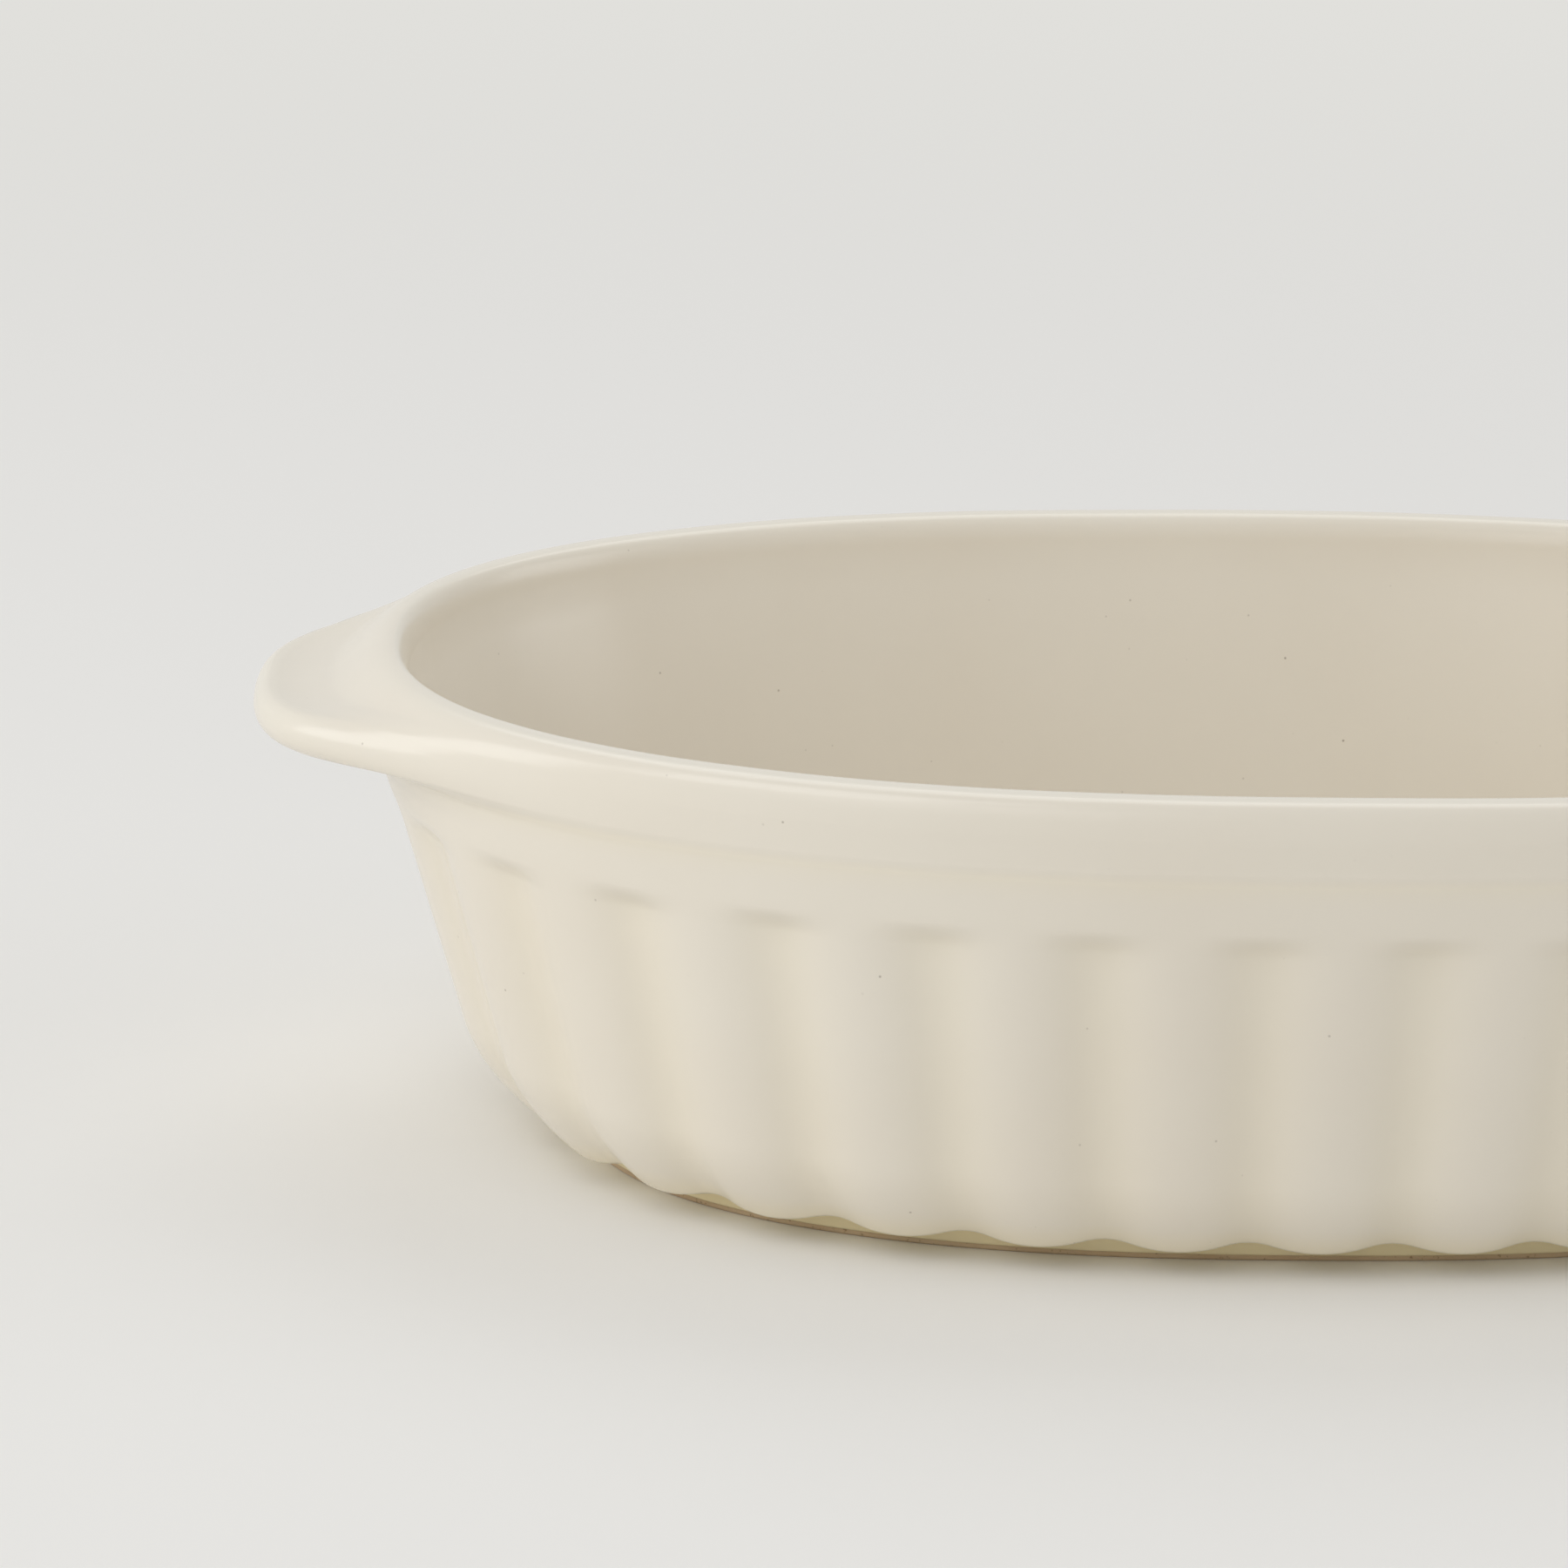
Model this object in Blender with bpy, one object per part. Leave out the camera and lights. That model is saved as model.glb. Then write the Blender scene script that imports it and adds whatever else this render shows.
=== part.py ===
"""Oval gratin dish in glazed stoneware, with a fluted wall and a lug at each end.

The dish is one fired piece. It is lofted here through closed rings that follow the oval: from the
flat floor up the inside, over the rim and its lugs, down the fluted wall and round the foot.
Units are metres, +Z is up, +X runs along the length, and the foot stands on Z = 0.
"""

from math import atan, cos, pi, radians, sin

import bmesh
import bpy
import numpy as np

# Overall form
HEIGHT = 0.052              # table to the crest of the rim
RIM_LENGTH = 0.194          # over the collar, lugs left out
RIM_WIDTH = 0.1318
RIM_OVAL_POWER = 2.32       # 2 makes an ellipse, more is squarer
FOOT_LENGTH = 0.1474
FOOT_WIDTH = 0.0970
FOOT_OVAL_POWER = 2.44

# Wall and floor
WALL = 0.0052               # thickness of the wall across the crest of a flute
FLOOR = 0.0052
FLOOR_FILLET = 0.012        # between the floor and the inside of the wall
HEEL_HEIGHT = 0.0144        # where the outside of the wall starts to turn in
HEEL_INSET = 0.0086         # how far it would have turned in at the table

# Rim: a rounded bead on a low collar
BEAD_HEIGHT = 0.0037        # of the rounded top
COLLAR_HEIGHT = 0.0085      # crest of the rim to the collar's lower edge
COLLAR_STEP = 0.0005        # the collar stands this proud of the wall
COLLAR_ROUNDING = 0.0008    # of its lower edge

# Flutes
FLUTES = 32
FLUTE_DEPTH = 0.0013
VALLEY_SHARE = 0.33         # share of a flute's width that is hollow
PLAIN_BAND = 0.0058         # plain wall between the collar and the flutes
RUN_OUT = 0.0032            # height over which the valleys fade out at the top

# Foot
FOOT_HEIGHT = 0.0021        # table to the lower edge of the flutes
FOOT_SETBACK = 0.0010       # of the foot's face, inside the heel's line at the table
FOOT_RING_WIDTH = 0.0055
FOOT_ROUNDING = 0.0005      # of its edges, and of the flutes' lower edge
BASE_RECESS = 0.0014        # depth of the hollow inside the foot ring

# Lugs
LUG_REACH = 0.0118          # beyond the collar
LUG_HALF_WIDTH = 0.0235     # along the rim, from its middle to where its reach has halved
LUG_FULLNESS = 3.8          # how square-shouldered a lug is before it runs into the collar
LUG_SLOPE = 0.0074          # across the slope from the crest of the rim down to the lug's top
LUG_DROP = 0.0039           # crest of the rim to the lug's top
LUG_THICKNESS = 0.0046
LUG_HOLLOW = 0.0003         # dishing of the lug's top
LUG_ROOT_FILLET = 0.0022    # under the lug, where it meets the wall
FILLET_POINT = radians(45)  # where that fillet has a ring between its ends
LUG_EDGE_START = 15         # degrees round the lug's edge at its first ring, from its top
LUG_EDGE_STEP = 37.5        # degrees from each of those rings to the next
LUG_EDGE_RINGS = 5

# Glaze
GLAZE_COLOUR = (0.735, 0.685, 0.555, 1.0)
GLAZE_ROUGHNESS = 0.22

# Mesh
COARSE_STEPS = 3            # points along a ring of the inside or the foot, for each flute
FINE_STEPS = 2 * COARSE_STEPS   # the same for the rim and the fluted wall
ARC_STEPS = 5               # bands round a bead or a fillet
FACE_STEPS = 4              # bands down the collar's face
RUN_OUT_STEPS = 3           # bands over the height in which the valleys fade out
HEEL_STEPS = 4              # bands down the heel
SHARP_EDGE = radians(50)    # faces that meet at more than this are shaded with a hard edge
OVAL_SAMPLES = 2880         # for spacing the points evenly along an oval

RIM = (RIM_LENGTH / 2, RIM_WIDTH / 2, RIM_OVAL_POWER)
FOOT = (FOOT_LENGTH / 2, FOOT_WIDTH / 2, FOOT_OVAL_POWER)
COLLAR_EDGE = HEIGHT - COLLAR_HEIGHT
FLUTE_TOP = COLLAR_EDGE - PLAIN_BAND
RIM_THICKNESS = WALL + COLLAR_STEP
COARSE = FLUTES * COARSE_STEPS
FINE = FLUTES * FINE_STEPS


def clear_scene():
    """Removes every object, so that the script can run again in the same file."""
    for obj in list(bpy.data.objects):
        bpy.data.objects.remove(obj, do_unlink=True)


def oval(half_length, half_width, squareness, count):
    """Points spaced evenly along an oval, counter-clockwise from its +X end.

    Returns the points, their outward normals, and each one's distance along the oval from the
    nearer end.
    """
    angle = np.linspace(0.0, 2.0 * pi, OVAL_SAMPLES + 1)
    power = 2.0 / squareness
    x = half_length * np.sign(np.cos(angle)) * np.abs(np.cos(angle)) ** power
    y = half_width * np.sign(np.sin(angle)) * np.abs(np.sin(angle)) ** power
    along = np.concatenate([[0.0], np.cumsum(np.hypot(np.diff(x), np.diff(y)))])
    place = along[-1] * np.arange(count) / count
    points = np.column_stack([np.interp(place, along, x), np.interp(place, along, y)])
    unit = points / (half_length, half_width)
    normals = np.sign(unit) * np.abs(unit) ** (squareness - 1.0) / (half_length, half_width)
    normals /= np.linalg.norm(normals, axis=1)[:, None]
    half_turn = along[-1] / 2.0
    from_end = np.abs((place + half_turn / 2.0) % half_turn - half_turn / 2.0)
    return points, normals, from_end


def ring(size, outward, height, count):
    """A closed ring at this height: the oval of this size, moved outward along its normals."""
    points, normals, _ = oval(*size, count)
    moved = points + normals * np.broadcast_to(outward, count)[:, None]
    return np.column_stack([moved, np.full(count, height)])


def wall_line(height):
    """The oval that the wall's outside would follow at this height if its heel didn't turn in."""
    share = (COLLAR_EDGE - height) / COLLAR_EDGE
    top = (RIM[0] - COLLAR_STEP, RIM[1] - COLLAR_STEP)
    spread = FOOT_SETBACK + HEEL_INSET
    bottom = (FOOT[0] + spread, FOOT[1] + spread)
    half_length, half_width = (a + (b - a) * share for a, b in zip(top, bottom))
    return half_length, half_width, RIM_OVAL_POWER + (FOOT_OVAL_POWER - RIM_OVAL_POWER) * share


def heel_turn(height):
    """How far the heel has turned in from the wall's line at this height, and its tilt there."""
    share = max(0.0, 1.0 - height / HEEL_HEIGHT)
    return HEEL_INSET * share**2, atan(2.0 * HEEL_INSET / HEEL_HEIGHT * share)


def quarter(steps=ARC_STEPS):
    """Angles over a quarter turn, both ends included."""
    return [pi / 2 * step / steps for step in range(steps + 1)]


def ease(share):
    """A smooth step from 0 to 1 over this share, level at both ends."""
    share = min(max(share, 0.0), 1.0)
    return share**2 * (3.0 - 2.0 * share)


def between(start, end, steps):
    """Values from start towards end in even steps, start left out and end included."""
    return [start + (end - start) * step / steps for step in range(1, steps + 1)]


def inside_rings():
    """From the edge of the flat floor up to just below the crest of the rim."""
    floor = BASE_RECESS + FLOOR
    rings = []
    for angle in quarter():
        height = floor + FLOOR_FILLET * (1 - cos(angle))
        inward = WALL + FLOOR_FILLET * (1 - sin(angle))
        rings.append(ring(wall_line(height), -inward, height, COARSE))
    bead_foot = HEIGHT - BEAD_HEIGHT
    inner = ring(wall_line(bead_foot), -WALL, bead_foot, COARSE)
    rings.append(inner)
    crest = ring(RIM, -RIM_THICKNESS / 2, HEIGHT, COARSE)
    for angle in reversed(quarter()[1:-1]):
        step = crest + (inner - crest) * sin(angle)
        step[:, 2] = HEIGHT - BEAD_HEIGHT * (1 - cos(angle))
        rings.append(step)
    return rings


def collar_section():
    """The rim's outside where there is no lug: (out from the collar's face, down from the crest)."""
    half = RIM_THICKNESS / 2
    bead = [(half * (sin(a) - 1), BEAD_HEIGHT * (1 - cos(a))) for a in quarter()]
    face_end = COLLAR_HEIGHT - COLLAR_ROUNDING
    face = [(0.0, down) for down in between(BEAD_HEIGHT, face_end, FACE_STEPS)]
    edge = [
        (COLLAR_STEP * (cos(a) - 1), face_end + COLLAR_ROUNDING * sin(a))
        for a in (radians(45), radians(90))
    ]
    return bead + face + edge


def lug_section():
    """The middle of a lug, with a point for each of the collar's and one in its root fillet."""
    radius = LUG_THICKNESS / 2
    centre = LUG_REACH - radius
    underside = LUG_DROP + LUG_THICKNESS
    crest = -RIM_THICKNESS / 2
    flat = crest + LUG_SLOPE
    rise = [(crest + LUG_SLOPE * share, LUG_DROP * ease(share)) for share in (0, 1 / 3, 2 / 3, 1)]
    top = [((flat + centre) / 2, LUG_DROP + LUG_HOLLOW)]
    edge = [
        (centre + radius * sin(a), LUG_DROP + radius * (1 - cos(a)))
        for a in (radians(LUG_EDGE_START + LUG_EDGE_STEP * step) for step in range(LUG_EDGE_RINGS))
    ]
    root = LUG_ROOT_FILLET - COLLAR_STEP
    under = [((root + centre) / 2, underside)]
    fillet = [
        (root - LUG_ROOT_FILLET * sin(a), underside + LUG_ROOT_FILLET * (1 - cos(a)))
        for a in (0, FILLET_POINT)
    ]
    return rise + top + edge + under + fillet


def lug_weight():
    """How much of a lug there is at each point of the rim, from 1 in its middle down to about 0."""
    share = oval(*RIM, FINE)[2] / LUG_HALF_WIDTH
    return (1.0 / (1.0 + share**LUG_FULLNESS))[:, None]


def rim_rings():
    """From the crest over the collar, and over the lugs, to the top of the plain band."""
    root = HEIGHT - max(COLLAR_HEIGHT, LUG_DROP + LUG_THICKNESS)
    below_edge = root - LUG_ROOT_FILLET * (1 - cos(FILLET_POINT))
    plain = [ring(RIM, out, HEIGHT - down, FINE) for out, down in collar_section()]
    plain.append(ring(wall_line(below_edge), 0.0, below_edge, FINE))
    lugs = [ring(RIM, out, HEIGHT - down, FINE) for out, down in lug_section()]
    weight = lug_weight()
    rings = [low + (high - low) * weight for low, high in zip(plain, lugs)]
    band = root - LUG_ROOT_FILLET
    return rings + [ring(wall_line(band), 0.0, band, FINE)]


def valley_share():
    """How deep each point of a fluted ring lies, from 0 on a flute's crest to 1 in a valley."""
    turn = np.arange(FINE) / FINE_STEPS
    across = np.abs((turn + 0.5) % 1.0 - 0.5) * 2.0
    crest = across**2 / (1.0 - VALLEY_SHARE)
    valley = 1.0 - (1.0 - across) ** 2 / VALLEY_SHARE
    return np.where(across < 1.0 - VALLEY_SHARE, crest, valley)


def fluted_ring(height, inward=0.0):
    """A ring on the fluted wall, moved inward by this much.

    The valleys' depth is square to the wall, and fades out towards the plain band.
    """
    depth = FLUTE_DEPTH * ease((FLUTE_TOP - height) / RUN_OUT) * valley_share()
    turn, tilt = heel_turn(height)
    points = ring(wall_line(height), -turn - inward - depth * cos(tilt), height, FINE)
    points[:, 2] += depth * sin(tilt)
    return points


def flute_rings():
    """From the top of the flutes down to their scalloped lower edge."""
    full = FLUTE_TOP - RUN_OUT
    lip = FOOT_HEIGHT + FOOT_ROUNDING
    heights = [FLUTE_TOP, *between(FLUTE_TOP, full, RUN_OUT_STEPS), HEEL_HEIGHT]
    heights += between(HEEL_HEIGHT, lip, HEEL_STEPS)
    return [fluted_ring(height) for height in heights] + [fluted_ring(FOOT_HEIGHT, FOOT_ROUNDING)]


def foot_rings():
    """From the foot's face round the foot ring to the recessed base."""
    inner = FOOT_RING_WIDTH
    section = [
        (0.0, FOOT_HEIGHT),
        (0.0, FOOT_ROUNDING),
        (FOOT_ROUNDING, 0.0),
        (inner - FOOT_ROUNDING, 0.0),
        (inner, FOOT_ROUNDING),
        (inner + FOOT_ROUNDING, BASE_RECESS),
    ]
    return [ring(FOOT, -inward, height, COARSE) for inward, height in section]


def loft(rings):
    """Joins the rings in order with faces, closes both ends flat, and returns the mesh."""
    bm = bmesh.new()
    loops = [[bm.verts.new(point) for point in points] for points in rings]
    for first, second in zip(loops, loops[1:]):
        if len(first) == len(second):
            join_even(bm, first, second)
        elif len(first) < len(second):
            join_double(bm, first, second)
        else:
            join_double(bm, second, first)
    for end in (loops[0], loops[-1]):
        bm.faces.new(end)
    bmesh.ops.recalc_face_normals(bm, faces=bm.faces)
    mesh = bpy.data.meshes.new("gratin_dish")
    bm.to_mesh(mesh)
    bm.free()
    return mesh


def join_even(bm, first, second):
    """A band of quads between two rings with the same number of points."""
    for i in range(len(first)):
        bm.faces.new((first[i - 1], first[i], second[i], second[i - 1]))


def join_double(bm, coarse, fine):
    """A band of triangles between a ring and one with twice as many points."""
    for i in range(len(coarse)):
        here, after = coarse[i - 1], coarse[i]
        left, middle, right = fine[2 * i - 2], fine[2 * i - 1], fine[2 * i]
        bm.faces.new((here, left, middle))
        bm.faces.new((here, middle, after))
        bm.faces.new((after, middle, right))


def glaze():
    """Cream gloss glaze, a little warm, as light stoneware shows through it."""
    material = bpy.data.materials.new("cream_glaze")
    material.use_nodes = True
    surface = material.node_tree.nodes["Principled BSDF"]
    surface.inputs["Base Color"].default_value = GLAZE_COLOUR
    surface.inputs["Roughness"].default_value = GLAZE_ROUGHNESS
    surface.inputs["Metallic"].default_value = 0.0
    return material


def build_dish():
    """The dish: bowl, rim, lugs and foot in one piece."""
    mesh = loft(inside_rings() + rim_rings() + flute_rings() + foot_rings())
    mesh.shade_smooth()
    mesh.set_sharp_from_angle(angle=SHARP_EDGE)
    mesh.materials.append(glaze())
    dish = bpy.data.objects.new("gratin_dish", mesh)
    bpy.context.scene.collection.objects.link(dish)
    return dish


def main():
    clear_scene()
    build_dish()


if __name__ == "__main__":
    main()
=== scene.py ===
"""Oval gratin dish in cream-glazed stoneware: its visible pieces, their finishes and the studio.

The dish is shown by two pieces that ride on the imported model's one body: the glazed dish itself, and
the bare clay ring that its foot stands on. Lengths are metres, +Z is up and +X runs from lug to lug.
"""

import logging
from dataclasses import dataclass, field
from enum import Enum
from math import atan, cos, pi, radians, sin

import bpy
import numpy as np
from mathutils import Matrix, Vector


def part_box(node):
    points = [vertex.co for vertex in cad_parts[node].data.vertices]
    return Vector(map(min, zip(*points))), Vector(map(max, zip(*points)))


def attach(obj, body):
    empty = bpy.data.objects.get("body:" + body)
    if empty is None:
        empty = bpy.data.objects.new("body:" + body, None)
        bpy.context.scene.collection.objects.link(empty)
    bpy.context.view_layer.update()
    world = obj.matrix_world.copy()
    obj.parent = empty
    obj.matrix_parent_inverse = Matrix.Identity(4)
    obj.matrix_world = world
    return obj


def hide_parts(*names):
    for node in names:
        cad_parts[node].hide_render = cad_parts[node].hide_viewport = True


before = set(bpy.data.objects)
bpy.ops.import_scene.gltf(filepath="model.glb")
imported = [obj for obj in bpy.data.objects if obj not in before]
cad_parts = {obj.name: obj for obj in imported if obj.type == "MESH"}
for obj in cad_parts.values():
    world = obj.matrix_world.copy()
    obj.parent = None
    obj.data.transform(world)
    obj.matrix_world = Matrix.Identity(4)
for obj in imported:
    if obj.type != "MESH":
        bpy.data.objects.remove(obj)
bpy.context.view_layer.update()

MM = 0.001
NODE = "gratin_dish"
BODY = "root"
SEAM_GAP = 0.001 * MM
SAMPLES_PER_POINT = 20
NODE_LOW, NODE_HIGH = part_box(NODE)

# Steps along the rim's section, whose rings the collar and the lugs share
SLOPE_END = 3.0  # the foot of the slope down to a lug's top
BEAD_END = 5.0  # the end of the collar's bead, and the start of a lug's edge
FACE_END = 9.0  # the end of the collar's face, and of a lug's edge
EDGE_END = 11.0  # the end of the collar's lower edge, and of a lug's underside
FILLET_END = 13.0  # the end of the fillet under a lug

# Numbers of the Mix node's sockets for colours
MIX_FACTOR = 0
MIX_A = 6
MIX_B = 7
MIX_RESULT = 2

log = logging.getLogger("gratin_dish")


class GlazeDepthAndPaintedLight(Enum):
    """How thick the glaze lies: it runs off edges and gathers in hollows. Its thinnest end is drawn
    paler, a painted highlight, and its fullest end, on the foot and low on the wall, is drawn lighter
    and yellower, partly glaze that pools there and partly painted bounce light.
    """

    THIN = 0.0
    EVEN = 0.5
    GATHERED = 0.56
    POOLED = 1.0


def hex_colour(code: str) -> tuple[float, float, float, float]:
    """Turns an sRGB hex colour to the linear colour that a shader takes.

    Args:
        code: Six hex digits after a hash.

    Returns:
        Linear red, green, blue and an alpha of 1.
    """
    channels = [int(code[i : i + 2], 16) / 255.0 for i in (1, 3, 5)]
    linear = [c / 12.92 if c <= 0.04045 else ((c + 0.055) / 1.055) ** 2.4 for c in channels]
    return (*linear, 1.0)


def add_node(
    tree: bpy.types.NodeTree,
    kind: str,
    output: str | int,
    inputs: dict[str | int, object] | None = None,
    **settings: object,
) -> bpy.types.NodeSocket:
    """Adds a shader node with its settings and its inputs.

    Args:
        tree: The node tree that it goes into.
        kind: The node's type.
        output: The name or number of the output that is wanted.
        inputs: For each input, by its name or number, a value or the socket that it is linked to.
        **settings: Values of the node's own properties.

    Returns:
        That output's socket.
    """
    node = tree.nodes.new(kind)
    for name, value in settings.items():
        setattr(node, name, value)
    for name, value in (inputs or {}).items():
        if isinstance(value, bpy.types.NodeSocket):
            tree.links.new(value, node.inputs[name])
        else:
            node.inputs[name].default_value = value
    return node.outputs[output]


def from_to(start: tuple[float, float], end: tuple[float, float]) -> dict[str, float]:
    """The inputs of a Map Range node that turn one range into another."""
    return {"From Min": start[0], "From Max": start[1], "To Min": end[0], "To Max": end[1]}


def layer_colours(
    tree: bpy.types.NodeTree, base: str, layers: list[tuple[bpy.types.NodeSocket, str]]
) -> bpy.types.NodeSocket:
    """Lays colours over a base colour, in order.

    Args:
        tree: The node tree that they are mixed in.
        base: The base colour, as sRGB hex.
        layers: For each colour, the socket of how much of it shows, and its sRGB hex.

    Returns:
        The socket of the mixed colour.
    """
    mixed = hex_colour(base)
    for share, code in layers:
        inputs = {MIX_FACTOR: share, MIX_A: mixed, MIX_B: hex_colour(code)}
        mixed = add_node(tree, "ShaderNodeMix", MIX_RESULT, inputs, data_type="RGBA")
    return mixed


def ease(share: float | np.ndarray) -> float | np.ndarray:
    """A smooth step from 0 to 1 over this share, level at both ends."""
    share = np.clip(share, 0.0, 1.0)
    return share**2 * (3.0 - 2.0 * share)


def shade_smooth(piece: bpy.types.Object, sharp_edge: float) -> None:
    """Shades a piece smooth, but for the edges that are sharper than this angle."""
    bpy.ops.object.select_all(action="DESELECT")
    piece.select_set(True)
    bpy.context.view_layer.objects.active = piece
    bpy.ops.object.shade_smooth_by_angle(angle=sharp_edge)


@dataclass(frozen=True)
class CreamGlaze:
    """Cream gloss glaze fired on buff stoneware.

    It is opaque and soft-edged, yellower where it gathers, with a faint orange-peel surface and a few
    iron specks from the clay. Over edges, where it runs thinly, it is drawn a little paler as a painted
    highlight, and on the foot and low on the wall its yellow is drawn lighter, partly glaze that pools
    there and partly painted bounce light. Its gloss is that of glass, a little softened, so that lamps
    show in it as broad soft lights.
    """

    even: str = "#E9E1D2"
    cloud: str = "#EBE4D6"
    # Drawn on edges where the glaze runs thinly: paler, a painted highlight
    thin_highlight: str = "#ECE6D8"
    # Drawn on the foot and low on the wall: a lighter yellow, partly glaze that pools there and partly
    # painted bounce light
    pooled_and_bounce: str = "#F3E5BC"
    speck: str = "#6E5B45"
    roughness: tuple[float, float] = (0.19, 0.25)
    ior: float = 1.52
    cloud_width: float = 38 * MM
    cloud_detail: float = 3.0
    cloud_colour_range: tuple[float, float] = (0.35, 0.65)
    cloud_gloss_range: tuple[float, float] = (0.3, 0.7)
    peel_width: float = 2.4 * MM
    peel_depth: float = 0.006 * MM
    peel_detail: float = 2.0
    sway_width: float = 17 * MM
    sway_depth: float = 0.05 * MM
    sway_detail: float = 1.0
    # Specks are drawn 0.2 to 0.4 mm wide, a little coarser than most real ones, so that they show
    speck_cell: float = 3.4 * MM
    speck_radius: float = 0.11 * MM
    speck_edge: float = 0.08 * MM
    speck_pick: tuple[float, float] = (0.3, 1.0)
    speck_strength: tuple[float, float] = (0.05, 0.85)

    def build(self) -> bpy.types.Material:
        """Makes the glaze's material.

        Returns:
            The material, which reads the points' glaze_depth_and_painted_light attribute.
        """
        material = bpy.data.materials.new("cream_gloss_glaze_on_stoneware")
        material.use_nodes = True
        tree = material.node_tree
        shader = tree.nodes["Principled BSDF"]
        place = add_node(tree, "ShaderNodeTexCoord", "Object")
        inputs = {"Vector": place, "Scale": 1.0 / self.cloud_width, "Detail": self.cloud_detail}
        clouds = add_node(tree, "ShaderNodeTexNoise", "Fac", inputs)
        tree.links.new(self.colour(tree, place, clouds), shader.inputs["Base Color"])
        inputs = {"Value": clouds, **from_to(self.cloud_gloss_range, self.roughness)}
        tree.links.new(
            add_node(tree, "ShaderNodeMapRange", "Result", inputs), shader.inputs["Roughness"]
        )
        shader.inputs["IOR"].default_value = self.ior
        tree.links.new(self.surface(tree, place), shader.inputs["Normal"])
        return material

    def colour(
        self, tree: bpy.types.NodeTree, place: bpy.types.NodeSocket, clouds: bpy.types.NodeSocket
    ) -> bpy.types.NodeSocket:
        """The glaze's colour: soft clouds, a tone by its depth, and specks. The tone's thinnest end is a
        painted highlight on edges, and its fullest end is partly painted bounce light low down.

        Args:
            tree: The material's nodes.
            place: The socket of the Object coordinates.
            clouds: The socket of the clouds' noise.

        Returns:
            The colour's socket.
        """
        depth = add_node(tree, "ShaderNodeAttribute", "Fac", attribute_name="glaze_depth_and_painted_light")
        thin_highlight, even, pooled_and_bounce = GlazeDepthAndPaintedLight.THIN.value, GlazeDepthAndPaintedLight.EVEN.value, GlazeDepthAndPaintedLight.POOLED.value
        # The depth's thinnest end paints a highlight on edges; its fullest end, low on the wall and on
        # the foot, is partly painted bounce light
        ranges = (
            (clouds, from_to(self.cloud_colour_range, (0.0, 1.0)), self.cloud),
            (depth, from_to((thin_highlight, even), (1.0, 0.0)), self.thin_highlight),
            (depth, from_to((even, pooled_and_bounce), (0.0, 1.0)), self.pooled_and_bounce),
        )
        layers = [
            (add_node(tree, "ShaderNodeMapRange", "Result", {"Value": value, **limits}), code)
            for value, limits, code in ranges
        ]
        return layer_colours(tree, self.even, [*layers, (self.specks(tree, place), self.speck)])

    def specks(self, tree: bpy.types.NodeTree, place: bpy.types.NodeSocket) -> bpy.types.NodeSocket:
        """Iron specks: round, a fraction of a millimetre wide, each with its own strength.

        Args:
            tree: The material's nodes.
            place: The socket of the Object coordinates.

        Returns:
            The socket of how much speck there is at a point.
        """
        inputs = {"Vector": place, "Scale": 1.0 / self.speck_cell}
        distance = add_node(tree, "ShaderNodeTexVoronoi", "Distance", inputs)
        radius, edge = self.speck_radius / self.speck_cell, self.speck_edge / self.speck_cell
        inputs = {"Value": distance, **from_to((radius - edge, radius + edge), (1.0, 0.0))}
        spot = add_node(tree, "ShaderNodeMapRange", "Result", inputs)
        inputs = {"Color": distance.node.outputs["Color"]}
        cell = add_node(tree, "ShaderNodeSeparateColor", "Red", inputs)
        inputs = {"Value": cell, **from_to(self.speck_pick, self.speck_strength)}
        strength = add_node(tree, "ShaderNodeMapRange", "Result", inputs)
        return add_node(tree, "ShaderNodeMath", 0, {0: spot, 1: strength}, operation="MULTIPLY")

    def surface(self, tree: bpy.types.NodeTree, place: bpy.types.NodeSocket) -> bpy.types.NodeSocket:
        """The fired surface: long soft sways under a fine orange peel.

        Args:
            tree: The material's nodes.
            place: The socket of the Object coordinates.

        Returns:
            The normal's socket.
        """
        inputs = {"Vector": place, "Scale": 1.0 / self.sway_width, "Detail": self.sway_detail}
        sway = add_node(tree, "ShaderNodeTexNoise", "Fac", inputs)
        inputs = {"Height": sway, "Distance": self.sway_depth, "Strength": 1.0}
        slow = add_node(tree, "ShaderNodeBump", "Normal", inputs)
        inputs = {"Vector": place, "Scale": 1.0 / self.peel_width, "Detail": self.peel_detail}
        peel = add_node(tree, "ShaderNodeTexNoise", "Fac", inputs)
        inputs = {"Height": peel, "Distance": self.peel_depth, "Strength": 1.0, "Normal": slow}
        return add_node(tree, "ShaderNodeBump", "Normal", inputs)


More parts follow.
